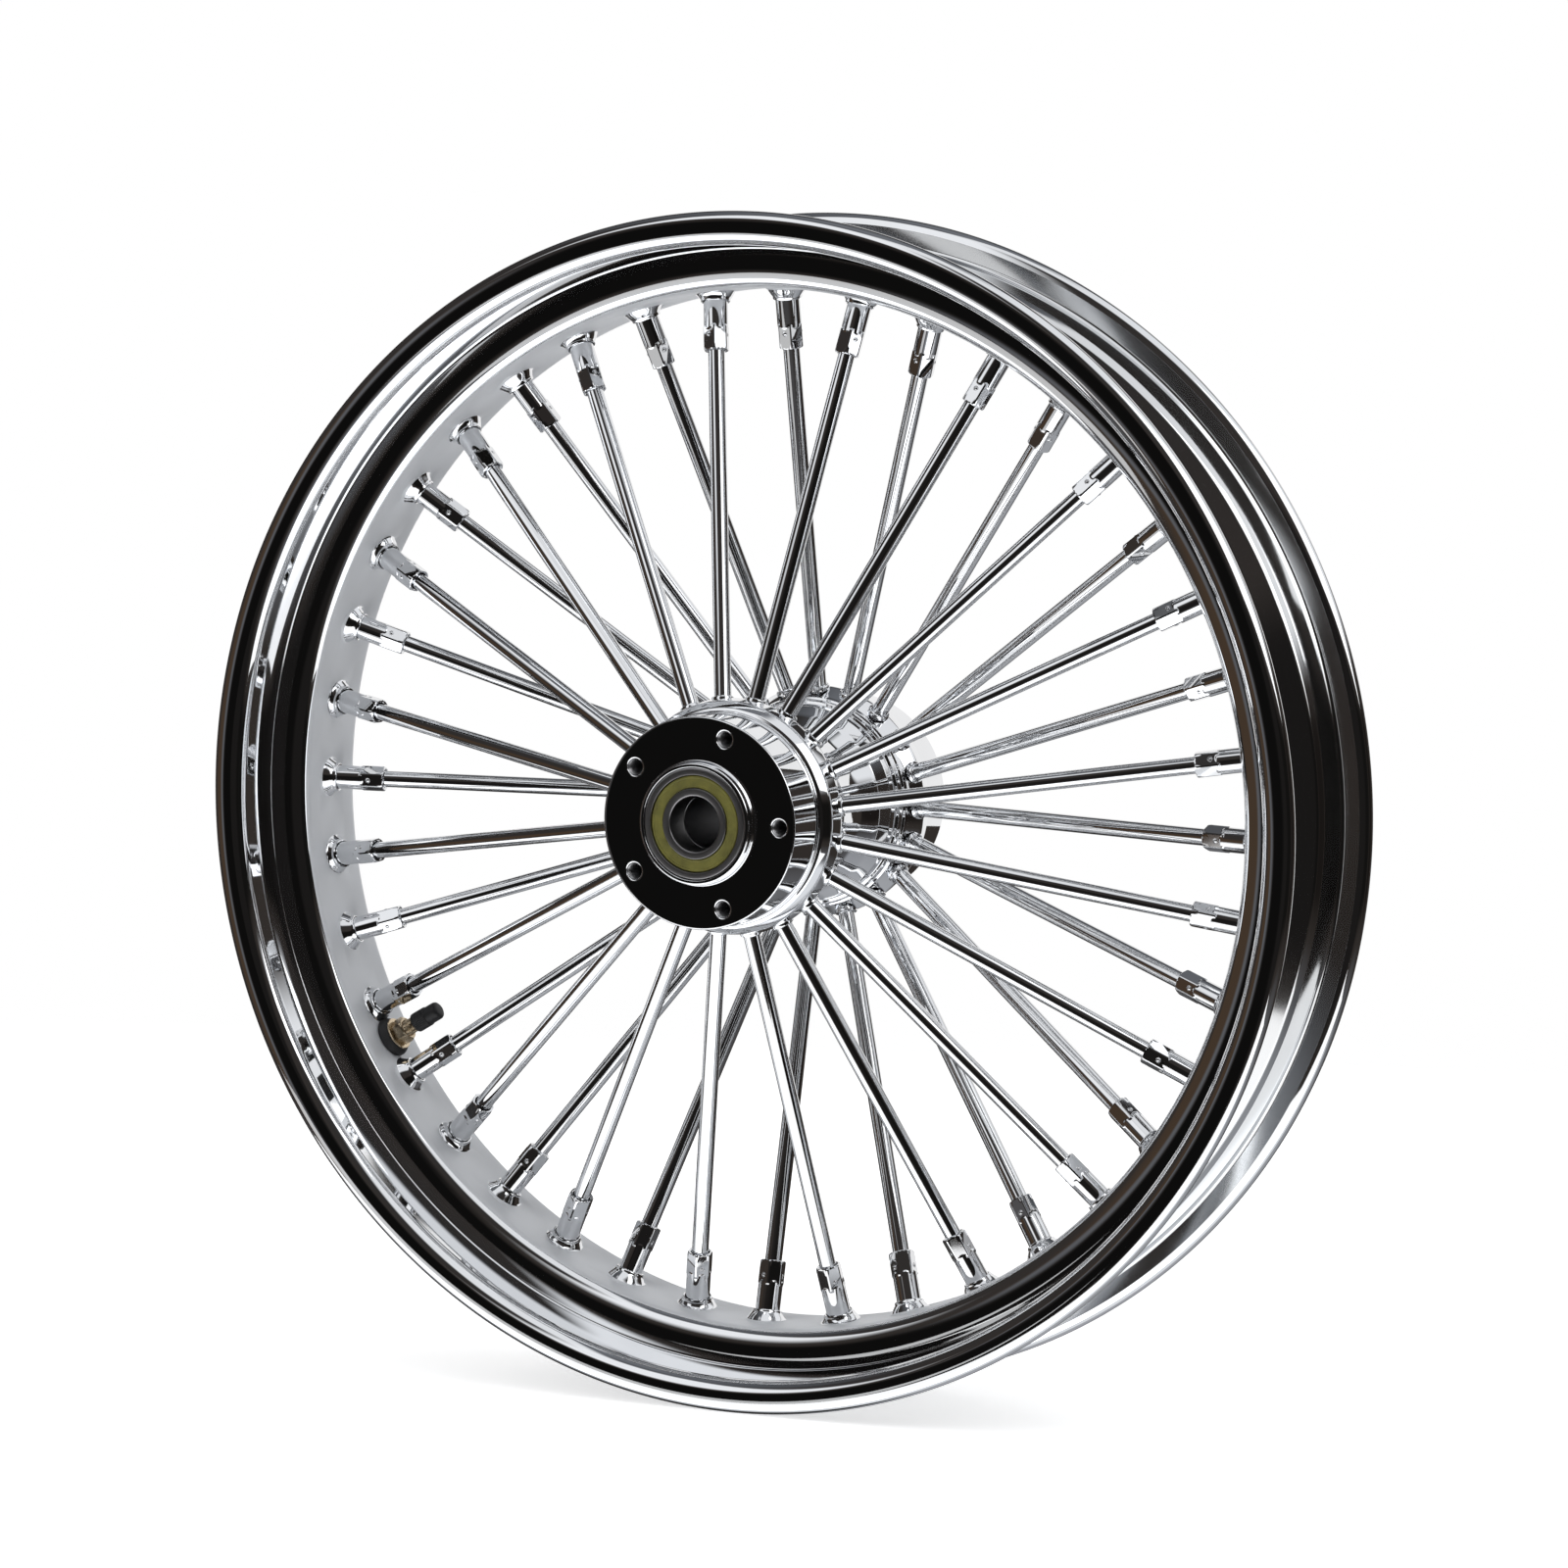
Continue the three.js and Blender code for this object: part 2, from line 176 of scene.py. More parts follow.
# azimuth, half width, lowest, highest and soft edge in degrees, then the card's colour;
# a later card stands in front of an earlier one
for card in (
    (10, 78, -84, -36, 4, (0.80, 0.82, 0.85)),
    (-120, 28, -80, -34, 5, (0.030, 0.029, 0.028)),
    (105, 45, 19, 62, 5, (0.88, 0.89, 0.91)),
    (70, 92, 47, 84, 5, (0.84, 0.85, 0.87)),
    (-27, 14, 19, 55, 4, (0.95, 0.96, 0.98)),
    (14, 26, -20, 15, 4, (0.012, 0.011, 0.0105)),
    (60, 24, -18, 11, 4, (0.0075, 0.007, 0.0065)),
    (106, 18, -18, 11, 4, (0.012, 0.010, 0.009)),
    (-50, 14, -16, 8, 5, (0.062, 0.041, 0.027)),
    (-37, 3.5, -20, 9, 2.5, (0.11, 0.112, 0.12)),
    (-20, 14, -20, 11, 4, (0.0048, 0.0046, 0.0044)),
):
    shade = room_patch(shade, *card)

room_light = add_node(room, "ShaderNodeBackground", Strength=1.0)
room.links.new(shade, room_light.inputs["Color"])
plain_light = add_node(room, "ShaderNodeBackground", Color=(1, 1, 1, 1), Strength=1.0)
ray_kind = add_node(room, "ShaderNodeLightPath")
chosen = add_node(room, "ShaderNodeMixShader")
link(room, ray_kind, "Is Camera Ray", chosen, "Fac")
room.links.new(room_light.outputs[0], chosen.inputs[1])
room.links.new(plain_light.outputs[0], chosen.inputs[2])
room_out = add_node(room, "ShaderNodeOutputWorld")
link(room, chosen, "Shader", room_out, "Surface")
bpy.context.scene.view_settings.view_transform = "Standard"


def light_card(name, lower, upper, width, brightness):
    """A lit white card between the middles of its lower and upper edges, facing the wheel."""
    lower, upper = Vector(lower), Vector(upper)
    middle, rise = (lower + upper) / 2, upper - lower
    across = Vector((0, 0, 1)).cross(middle)
    if abs(rise.z) < 1e-6:
        across = Vector((1, 0, 0))
    across = (across - rise.normalized() * across.dot(rise.normalized())).normalized()
    facing = across.cross(rise).normalized()
    if facing.dot(middle) < 0:
        across, facing = -across, -facing
    lamp = bpy.data.lights.new(name, "AREA")
    lamp.shape = "RECTANGLE"
    lamp.size, lamp.size_y = width, rise.length
    lamp.energy = brightness * math.pi * width * rise.length  # a sheet this bright gives off this much
    holder = bpy.data.objects.new(name, lamp)
    bpy.context.collection.objects.link(holder)
    turn = Matrix((across, rise.normalized(), facing)).transposed().to_4x4()
    holder.matrix_world = Matrix.Translation(middle) @ turn
    holder.visible_camera = False
    return holder


left_card = light_card("left_softbox", (-0.75, -1.25, 0.28), (-0.60, -0.25, 1.10), 0.95, 1.35)
left_card.visible_glossy = False
light_card("right_softbox", (1.05, -0.35, 0.36), (0.85, -0.05, 1.10), 0.95, 1.25)
light_card("back_card", (-0.24, 1.15, -0.34), (-0.24, 1.15, 0.95), 1.92, 0.9)
light_card("low_card", (0.0, -0.25, -0.63), (0.0, -1.12, -0.63), 2.4, 1.15)
light_card("low_left_card", (-1.05, -1.14, -0.63), (-1.05, -1.80, -0.63), 1.2, 0.55)


# ---- The table top ----
# A round matt white sheet just under the rim. It glows a little, so that it stays white,
# and it fades out before its edge would show.
floor_gap, floor_reach = 0.0005, 1.6
fade_start, fade_end = 0.5, 1.5
floor_mesh = bpy.data.meshes.new("table_top")
floor_shape = bmesh.new()
bmesh.ops.create_circle(floor_shape, cap_ends=True, segments=96, radius=floor_reach)
floor_shape.to_mesh(floor_mesh)
floor_shape.free()
table_top = bpy.data.objects.new("table_top", floor_mesh)
bpy.context.collection.objects.link(table_top)
table_top.location.z = cad_box[0][2] - floor_gap
table_top.visible_glossy = False

floor_paint = bpy.data.materials.new("table_top")
floor_paint.use_nodes = True
tree = floor_paint.node_tree
paint = tree.nodes["Principled BSDF"]
paint.inputs["Base Color"].default_value = (0.93, 0.93, 0.93, 1)
paint.inputs["Roughness"].default_value = 0.9
paint.inputs["Specular IOR Level"].default_value = 0.0
paint.inputs["Emission Color"].default_value = (1, 1, 1, 1)
paint.inputs["Emission Strength"].default_value = 0.6
place = add_node(tree, "ShaderNodeTexCoord")
far = add_node(tree, "ShaderNodeVectorMath", operation="LENGTH")
link(tree, place, "Object", far, "Vector")
fade = add_node(tree, "ShaderNodeMapRange", interpolation_type="SMOOTHSTEP")
fade.inputs["From Min"].default_value = fade_start
fade.inputs["From Max"].default_value = fade_end
tree.links.new(far.outputs["Value"], fade.inputs["Value"])
clear = add_node(tree, "ShaderNodeBsdfTransparent")
melt = add_node(tree, "ShaderNodeMixShader")
link(tree, fade, "Result", melt, "Fac")
tree.links.new(paint.outputs[0], melt.inputs[1])
tree.links.new(clear.outputs[0], melt.inputs[2])
tree.links.new(melt.outputs[0], tree.nodes["Material Output"].inputs["Surface"])
floor_mesh.materials.append(floor_paint)


# ---- Rim ----
# One hoop of rolled steel sheet: a drop-centre well, two bead seats, upright flanges and
# rolled lips, with forty bosses pressed up for the nipples. Chromed bright outside;
# the well between the spokes stays satin, and the tyre side was never buffed.
def rounded(corners, closed=False, steps=5):
    """A smooth outline from [radius, y, corner radius] points."""
    count = len(corners)
    outline = []
    for i, (radius, y, bend) in enumerate(corners):
        here = Vector((radius, y))
        inner = closed or 0 < i < count - 1
        if not inner or bend == 0:
            outline.append(here)
            continue
        before = Vector(corners[i - 1][:2]) - here
        after = Vector(corners[(i + 1) % count][:2]) - here
        half = before.angle(after) / 2
        reach = min(bend / math.tan(half), before.length * 0.49, after.length * 0.49)
        start, end = here + before.normalized() * reach, here + after.normalized() * reach
        centre = here + (before.normalized() + after.normalized()).normalized() * (reach / math.cos(half))
        sweep = (start - centre).angle_signed(end - centre)
        for k in range(steps + 1):
            arm = (start - centre).copy()
            arm.rotate(Matrix.Rotation(-sweep * k / steps, 2))
            outline.append(centre + arm)
    return outline


def wheel_point(radius, angle, y):
    return Vector((radius * math.cos(angle), y, radius * math.sin(angle))) * mm


def loop_strip(shape, first, second, material=0):
    """Faces between two loops with the same number of corners."""
    for k in range(len(first)):
        after = (k + 1) % len(first)
        face = shape.faces.new((first[k], first[after], second[after], second[k]))
        face.material_index = material


def spin_rows(shape, outline, steps, start=0.0, closed=False, material=0):
    """Turns an outline of (radius, y) about the axle."""
    rings = []
    for radius, y in outline:
        ring = [shape.verts.new(wheel_point(radius, start + math.tau * k / steps, y)) for k in range(steps)]
        rings.append(ring)
    following = rings[1:] + rings[:1] if closed else rings[1:]
    for near, next_ring in zip(rings, following):
        loop_strip(shape, near, next_ring, material)


def closed_mesh(name, shape, materials, sharp_deg, merge=2e-6):
    """Welds a hand-made shape shut and shades it smooth, but for edges sharper than the angle."""
    bmesh.ops.remove_doubles(shape, verts=shape.verts, dist=merge)
    bmesh.ops.recalc_face_normals(shape, faces=shape.faces)
    for face in shape.faces:
        face.smooth = True
    for edge in shape.edges:
        if len(edge.link_faces) == 2 and edge.calc_face_angle(0) > math.radians(sharp_deg):
            edge.smooth = False
    mesh = bpy.data.meshes.new(name)
    shape.to_mesh(mesh)
    shape.free()
    for material in materials:
        mesh.materials.append(material)
    return mesh


def finish_piece(name, shape, materials, body, stands_for=(), sharp_deg=32, merge=2e-6):
    """Makes a hand-made shape an object that rides on a body."""
    mesh = closed_mesh(name, shape, materials, sharp_deg, merge)
    return place_mesh(name, mesh, body, stands_for)


def place_mesh(name, mesh, body, stands_for=(), matrix=None):
    piece = bpy.data.objects.new(name, mesh)
    bpy.context.collection.objects.link(piece)
    if matrix is not None:
        piece.matrix_world = matrix
    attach(piece, body)
    if stands_for:
        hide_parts(*stands_for)
    return piece


def metal(name, colour, roughness, rough_spread, grain_scale, wave_scale=0, wave_depth=0, grain_depth=0):
    """Plated or bare metal: faint clouding of the polish, fine grain, and slow waves in the sheet."""
    material = bpy.data.materials.new(name)
    material.use_nodes = True
    tree = material.node_tree
    plate = tree.nodes["Principled BSDF"]
    plate.inputs["Metallic"].default_value = 1.0
    place = add_node(tree, "ShaderNodeTexCoord")
    cloud = add_node(tree, "ShaderNodeTexNoise", Scale=38.0, Detail=4.0)
    link(tree, place, "Object", cloud, "Vector")
    grain = add_node(tree, "ShaderNodeTexNoise", Scale=grain_scale, Detail=2.0)
    link(tree, place, "Object", grain, "Vector")
    tint = ramp(tree, [(0.3, tuple(c * 0.965 for c in colour)), (0.7, colour)])
    link(tree, cloud, "Fac", tint, "Fac")
    link(tree, tint, "Color", plate, "Base Color")
    dull = add_node(tree, "ShaderNodeMapRange")
    dull.inputs["To Min"].default_value = roughness
    dull.inputs["To Max"].default_value = roughness + rough_spread
    both = add_node(tree, "ShaderNodeMath", operation="MULTIPLY")
    tree.links.new(cloud.outputs["Fac"], both.inputs[0])
    tree.links.new(grain.outputs["Fac"], both.inputs[1])
    tree.links.new(both.outputs[0], dull.inputs["Value"])
    link(tree, dull, "Result", plate, "Roughness")
    relief = None
    if wave_depth:
        wave = add_node(tree, "ShaderNodeTexNoise", Scale=wave_scale, Detail=1.0)
        link(tree, place, "Object", wave, "Vector")
        relief = add_node(tree, "ShaderNodeBump", Strength=1.0, Distance=wave_depth)
        link(tree, wave, "Fac", relief, "Height")
    if grain_depth:
        fine = add_node(tree, "ShaderNodeBump", Strength=1.0, Distance=grain_depth)
        link(tree, grain, "Fac", fine, "Height")
        if relief:
            link(tree, relief, "Normal", fine, "Normal")
        relief = fine
    if relief:
        link(tree, relief, "Normal", plate, "Normal")
    return material


rim_chrome = metal("rim_chrome", (0.86, 0.87, 0.885), 0.025, 0.05, 900.0, 14.0, 0.00006)
satin_metallic = 0.15
well_satin = metal("well_satin_chrome", (0.76, 0.78, 0.81), 0.42, 0.12, 2600.0, 0, 0, 0.000012)
well_satin.node_tree.nodes["Principled BSDF"].inputs["Metallic"].default_value = satin_metallic
tyre_side_chrome = metal("tyre_side_chrome", (0.78, 0.79, 0.80), 0.05, 0.10, 1500.0, 24.0, 0.00010)

spoke_count = 40
spoke_step = math.tau / spoke_count
first_spoke = math.radians(214.75)
rear_side, front_side = 1, -1
lip_radius, lip_y, lip_roll = 280.9, 49.0, 4.2
bead_seat, bead_half = 267.2, 44.45
well_radius, well_half, sheet = 245.4, 11.8, 2.6
floor_half = well_half - 1.1
hub_end_radius, hub_end_y, rim_end_radius = 55.0, 42.05, 241.0
spoke_slope = -hub_end_y / (rim_end_radius - hub_end_radius)
spoke_lean = math.atan(-spoke_slope)


def spoke_y(radius):
    """How far out along the axle a spoke's centre line is, on its own side."""
    return hub_end_y + (radius - hub_end_radius) * spoke_slope


spoke_sides = [rear_side, front_side] * (spoke_count // 2)
lacing = [(first_spoke - k * spoke_step, side) for k, side in enumerate(spoke_sides)]

roll_centre = lip_radius - lip_roll


def arc(centre_radius, centre_y, bend, first_deg, last_deg, steps):
    """Points on a curve of the rim; 0 degrees faces along the axle, 90 towards the hub."""
    turns = [math.radians(first_deg + (last_deg - first_deg) * k / steps) for k in range(steps + 1)]
    return [(centre_radius - bend * math.sin(t), centre_y + bend * math.cos(t), 0) for t in turns]


rim_half = [
    (well_radius, well_half, 0),
    *arc(251.79, 18.69, 6.39, 90, 22, 6),
    *arc(258.5, -0.8, 27.0, 19, -8, 7),
    (264.0, 25.7, 1.5),
    *arc(272.1, 46.0, 7.2, 84, 12, 8),
    *arc(274.27, 34.7, 18.7, 10, -9, 4),
    *arc(roll_centre, lip_y, lip_roll, -12, -168, 14),
    (roll_centre - 0.6, bead_half, 0.4),
    (bead_seat, bead_half, 2.4),
    (bead_seat - 1.5, 27.0, 1.6),
    (bead_seat - 3.2, 23.4, 3.0),
    (well_radius + 5.2, well_half + 6.0, 3.0),
    (well_radius + sheet, floor_half, 0),
]
sector_steps = 16
side_steps = 8


def sector_frame(half_width_y, steps_across, steps_side, half_angle):
    """Corners round one sector of a hoop, as (angle offset, y), in order."""
    across = [-half_angle + 2 * half_angle * k / steps_across for k in range(steps_across + 1)]
    side = [-half_width_y + 2 * half_width_y * k / steps_side for k in range(steps_side + 1)]
    ring = [(a, -half_width_y) for a in across[:-1]] + [(half_angle, y) for y in side[:-1]]
    ring += [(a, half_width_y) for a in reversed(across[1:])]
    return ring + [(-half_angle, y) for y in reversed(side[1:])]


def lean_over(u, v, h, amount, side):
    """Tips a point of a boss towards the spoke's own line by a share of its lean."""
    angle = -side * spoke_lean * amount
    return u, v * math.cos(angle) - h * math.sin(angle), v * math.sin(angle) + h * math.cos(angle)


boss_foot, boss_blend, satin_boss_rows = 10.4, 2.6, 3
boss_outside = [(boss_foot, 0), (10.0, 0.1), (9.5, 0.4), (8.9, 1.05), (8.2, 2.1), (7.6, 3.0), (7.25, 3.55),
                (7.15, 3.95), (7.1, 4.4), (6.9, 4.75), (6.55, 4.85), (6.25, 4.7), (6.1, 4.3), (6.05, 2.2)]
boss_inside = [(boss_foot, -sheet), (9.9, -2.5), (9.2, -2.05), (8.5, -1.1), (7.8, -0.1), (7.3, 0.7),
               (6.8, 1.3), (6.35, 1.7), (6.1, 1.9), (6.05, 2.2)]


def boss_patch(shape, middle, side, floor_radius, half_y, outline, floor_material, boss_material):
    """One sector of the well's floor with a pressed boss (or its hollow back) in it."""
    centre_y = side * spoke_y(well_radius)
    frame_points = sector_frame(half_y, sector_steps, side_steps, spoke_step / 2)
    before = [shape.verts.new(wheel_point(floor_radius, middle + a, y)) for a, y in frame_points]
    bearings = [math.atan2(y - centre_y, a * floor_radius) for a, y in frame_points]
    for row, (rho, rise) in enumerate(outline):
        tip = min(1.0, max(0.0, (boss_foot - rho) / boss_blend))
        loop = []
        for bearing in bearings:
            u, v, h = lean_over(rho * math.cos(bearing), rho * math.sin(bearing), rise, tip, side)
            spot = wheel_point(well_radius - h, middle + u / floor_radius, centre_y + v)
            loop.append(shape.verts.new(spot))
        loop_strip(shape, before, loop, floor_material if row < satin_boss_rows else boss_material)
        before = loop


rim_shape = bmesh.new()
rim_steps = spoke_count * sector_steps
half_outline = rounded(rim_half)
# the plating is satin up to the foot of the wall, and unbuffed from under the lip on
lip_foot = 270
satin_rows = next(i for i, p in enumerate(half_outline) if p[0] > well_radius + 0.5)
outside_rows = next(i for i, p in enumerate(half_outline) if p[1] < bead_half + 0.1 and p[0] > lip_foot)
rim_start = first_spoke + spoke_step / 2
for side in (front_side, rear_side):
    shown = [(p[0], side * p[1]) for p in half_outline]
    spin_rows(rim_shape, shown[:satin_rows + 1], rim_steps, rim_start, material=1)
    spin_rows(rim_shape, shown[satin_rows:outside_rows + 1], rim_steps, rim_start, material=0)
    spin_rows(rim_shape, shown[outside_rows:], rim_steps, rim_start, material=2)
for middle, side in lacing:
    boss_patch(rim_shape, middle, side, well_radius, well_half, boss_outside, 1, 0)
    boss_patch(rim_shape, middle, side, well_radius + sheet, floor_half, boss_inside, 2, 2)
ring_weld = 2e-5
finish_piece("rim_hoop", rim_shape, [rim_chrome, well_satin, tyre_side_chrome], "wheel",
             ["rim"], sharp_deg=40, merge=ring_weld)


# ---- Hub ----
# A shell turned from one bar: a disc face and bearing boss at each end, a fat ring that the
# spokes are drilled into, and a waist between. Chromed, with bare steel in the tapped holes.
hub_chrome = metal("hub_chrome", (0.86, 0.87, 0.885), 0.02, 0.04, 1200.0, 30.0, 0.00001)
thread_steel = metal("thread_steel", (0.42, 0.42, 0.43), 0.30, 0.2, 2000.0, 0, 0, 0.00001)
hub_half = [
    (38.4, 0, 0),
    (38.8, 9, 14),
    (42.6, 21, 14),
    (46.6, 27.5, 2),
    (47.2, 31.2, 0.7),
    (48.8, 31.6, 0.4),
    (49.2, 34.6, 0.7),
    (50.4, 35.2, 0.5),
    (51.0, 37.0, 0.8),
    (55.6, 44.6, 4.0),
    (54.6, 52.4, 4.0),
    (51.6, 56.2, 1.6),
    (50.2, 56.6, 0.4),
    (49.9, 57.2, 0.3),
    (49.5, 57.4, 0.2),
    (49.5, 81.5, 0.9),
    (47.8, 81.5, 0),
]
hub_bore = [
    (31.0, 81.5, 0),
    (29.0, 81.5, 0.7),
    (28.3, 82.4, 0.5),
    (28.3, 86.5, 0.9),
    (26.15, 86.5, 0.35),
    (26.1, 70.8, 0.3),
    (23.6, 70.7, 0.4),
    (23.6, 63.7, 1.0),
    (28.0, 50.0, 2.0),
    (28.0, 0, 0),
]
hub_steps = 240
bolt_count = 5
bolt_circle = 41.275
bolt_start = math.radians(-0.8)
face_y = 81.5
hole_radius, hole_edge, thread_start = 3.8, 0.9, 0.95
thread_pitch, thread_turns = 1.41, 10
crest_radius, root_radius, drill_radius = 3.3, 3.75, 3.2
face_steps = 8


def bolt_hole_rows():
    """A tapped hole from its rounded edge to its drill point, as (radius, depth)."""
    turns = [math.radians(18 * k) for k in range(6)]
    rows = [(5.2, 0.0), (4.75, 0.0)]
    rows += [(hole_radius + hole_edge * (1 - math.sin(t)), hole_edge * (1 - math.cos(t))) for t in turns]
    for turn in range(thread_turns):
        depth = thread_start + turn * thread_pitch
        rows += [(crest_radius, depth + thread_pitch * 0.35), (root_radius, depth + thread_pitch * 0.95)]
    depth = rows[-1][1]
    return rows + [(drill_radius, depth + 0.6), (drill_radius, depth + 2.0), (0.05, depth + 3.9)]


hub_shape = bmesh.new()
for side in (front_side, rear_side):
    sector = math.tau / bolt_count
    start = bolt_start + sector / 2
    spin_rows(hub_shape, [(p[0], side * p[1]) for p in rounded(hub_half)], hub_steps, start)
    spin_rows(hub_shape, [(p[0], side * p[1]) for p in rounded(hub_bore)], hub_steps, start)
    mid_radius = (hub_half[-1][0] + hub_bore[0][0]) / 2
    half_band = (hub_half[-1][0] - hub_bore[0][0]) / 2
    for i in range(bolt_count):
        middle = bolt_start + i * sector
        hole_centre = wheel_point(bolt_circle, middle, side * face_y)
        outward = wheel_point(1, middle, 0).normalized()
        along = Vector((0, 1, 0)).cross(outward)
        frame_points = sector_frame(half_band, hub_steps // bolt_count, face_steps, sector / 2)
        before, bearings = [], []
        for a, over in frame_points:
            spot = wheel_point(mid_radius + over, middle + a, side * face_y)
            before.append(hub_shape.verts.new(spot))
            bearings.append(math.atan2((spot - hole_centre).dot(outward), (spot - hole_centre).dot(along)))
        for radius, depth in bolt_hole_rows():
            loop = []
            for bearing in bearings:
                arm = (along * math.cos(bearing) + outward * math.sin(bearing)) * radius * mm
                loop.append(hub_shape.verts.new(hole_centre + arm - Vector((0, side * depth * mm, 0))))
            loop_strip(hub_shape, before, loop, 0 if depth < thread_start else 1)
            before = loop
finish_piece("hub_shell", hub_shape, [hub_chrome, thread_steel], "wheel", ["hub_body"],
             sharp_deg=24, merge=ring_weld)


# ---- Spokes ----
# Forty straight rods of 8 mm chromed steel, screwed into the hub's rings and drawn up by
# the nipples. A small rolled edge closes each hole in the ring.
spoke_chrome = metal("spoke_chrome", (0.84, 0.85, 0.865), 0.025, 0.045, 1400.0, 60.0, 0.000006)
spoke_radius = 4.0
nipple_hex_start, nipple_hex_end, nipple_head_start = 217.6, 229.0, 247.6
lean_stretch = math.hypot(1, spoke_slope)


def along_spoke(radius):
    """Distance along a spoke from the ring's surface to where it is this far from the axle."""
    return (radius - hub_end_radius) * lean_stretch


def spoke_matrix(angle, side):
    """Stands a piece made along +Z on a spoke's line, with its zero at the hub ring's surface."""
    start = wheel_point(hub_end_radius, angle, side * hub_end_y)
    end = wheel_point(rim_end_radius, angle, 0)
    turn = (end - start).to_track_quat("Z", "Y").to_matrix().to_4x4()
    return Matrix.Translation(start) @ turn


def rod_mesh(name, outline, steps, material, sharp_deg=32, section=None):
    """A rod along +Z from (radius, distance) points; section(angle, radius, z) may reshape it."""
    shape = bmesh.new()
    rings = []
    for radius, z in outline:
        ring = []
        for k in range(steps):
            angle = math.tau * k / steps
            reach = section(angle, radius, z) if section else radius
            spot = Vector((reach * math.cos(angle), reach * math.sin(angle), z)) * mm
            ring.append(shape.verts.new(spot))
        rings.append(ring)
    for near, next_ring in zip(rings, rings[1:]):
        loop_strip(shape, near, next_ring)
    return closed_mesh(name, shape, [material], sharp_deg)


spoke_bottom = along_spoke(48.5)
spoke_top = along_spoke(232)
spoke_outline = [(0, spoke_bottom), (3.6, spoke_bottom), (spoke_radius, spoke_bottom + 0.5)]
plain_length = spoke_top - spoke_bottom - 1
spoke_outline += [(spoke_radius, spoke_bottom + 0.5 + plain_length * k / 6) for k in range(1, 7)]
spoke_outline += [(3.6, spoke_top), (0, spoke_top)]
spoke_mesh = rod_mesh("spoke_rod", spoke_outline, 40, spoke_chrome)
collar_outline = [(4.02, -1.2), (5.3, -1.2), (5.35, 0.0), (5.2, 0.55), (4.8, 0.85), (4.3, 0.75),
                  (4.02, 0.35), (4.02, -1.2)]
collar_mesh = rod_mesh("spoke_collar", collar_outline, 40, hub_chrome)


# ---- Nipples ----
# Turned steel sleeves, chromed: a hexagon for the spanner towards the hub, a round shank
# through the rim's boss, a domed head inside, and a small domed pin in every other flat.
# Each was left at its own turn when the wheel was trued.
hex_flat, hex_corner, shank_radius = 5.55, 6.2, 5.8
nipple_start, nipple_step = along_spoke(nipple_hex_start), along_spoke(nipple_hex_end)
nipple_head = along_spoke(nipple_head_start)
run_out, tongue_angle, tongue_blend = 1.7, math.radians(22), 0.35
blank_radius = 6.4


def nipple_section(angle, radius, z):
    """The spanner flats: they end in a round tongue of the shank on every flat."""
    offset = (angle + math.pi / 6) % (math.pi / 3) - math.pi / 6
    flat = hex_flat / math.cos(offset)
    soft_corner = min(flat, hex_corner)
    tongue = nipple_step - run_out * math.sqrt(max(0.0, 1 - (offset / tongue_angle) ** 2))
    if z <= tongue - tongue_blend:
        return min(radius, soft_corner)
    if z >= tongue + tongue_blend:
        return min(radius, shank_radius)
    blend = (z - tongue + tongue_blend) / (2 * tongue_blend)
    return min(radius, soft_corner + (shank_radius - soft_corner) * blend)


nipple_outline = [(4.05, nipple_start + 1.6), (4.5, nipple_start + 0.35), (4.9, nipple_start),
                  (5.5, nipple_start), (5.95, nipple_start + 0.3), (blank_radius, nipple_start + 0.8)]
flat_length = nipple_step - nipple_start - 3.2
nipple_outline += [(blank_radius, nipple_start + 0.8 + flat_length * k / 3) for k in (1, 2, 3)]
nipple_outline += [(blank_radius, nipple_step - 2.3 + 0.17 * k) for k in range(1, 20)]
nipple_outline += [(shank_radius, nipple_step + 2.0), (shank_radius, nipple_head - 0.2), (7.2, nipple_head),
                   (7.5, nipple_head + 0.5), (7.4, nipple_head + 1.6), (6.6, nipple_head + 2.8),
                   (4.6, nipple_head + 3.6), (3.2, nipple_head + 3.8), (3.0, nipple_head + 3.0),
                   (0, nipple_head + 2.9)]
nipple_mesh = rod_mesh("nipple", nipple_outline, 96, spoke_chrome, 26, nipple_section)

pin_profile = [(1.25, -0.4), (1.25, 0.03), (1.1, 0.06), (0.98, 0.03), (0.9, -0.02), (0.82, 0.03),
               (0.7, 0.14), (0.45, 0.26), (0.2, 0.3), (0.0, 0.31)]
pin_steps = 20
pin_height = (nipple_step + nipple_start) / 2 + 1.6
pin_shape = bmesh.new()
for flat in (0, 2, 4):
    facing = Matrix.Rotation(flat * math.pi / 3, 4, "Z")
    rings = []
    for radius, rise in pin_profile:
        turns = [math.tau * k / pin_steps for k in range(pin_steps)]
        ring = [(hex_flat + rise, radius * math.cos(t), pin_height + radius * math.sin(t)) for t in turns]
        rings.append([pin_shape.verts.new(facing @ (Vector(corner) * mm)) for corner in ring])
    for near, next_ring in zip(rings, rings[1:]):
        loop_strip(pin_shape, near, next_ring)
pin_mesh = closed_mesh("nipple_pin", pin_shape, [spoke_chrome], 180)

random.seed(7)
side_words = {front_side: "front", rear_side: "rear"}
for side in (front_side, rear_side):
    first = first_spoke if side == rear_side else first_spoke - spoke_step
    for i in range(spoke_count // 2):
        angle = first + 2 * spoke_step * i
        label = f"{side_words[side]}_{i + 1:02d}"
        stand = spoke_matrix(angle, side)
        place_mesh(f"spoke_rod_{label}", spoke_mesh, "wheel", [f"spoke_{label}"], stand)
        place_mesh(f"spoke_collar_{label}", collar_mesh, "wheel", (), stand)
        twist = Matrix.Rotation(random.uniform(0, math.tau), 4, "Z")
        place_mesh(f"nipple_{label}", nipple_mesh, "wheel", (), stand @ twist)
        place_mesh(f"nipple_pin_{label}", pin_mesh, "wheel", (), stand @ twist)


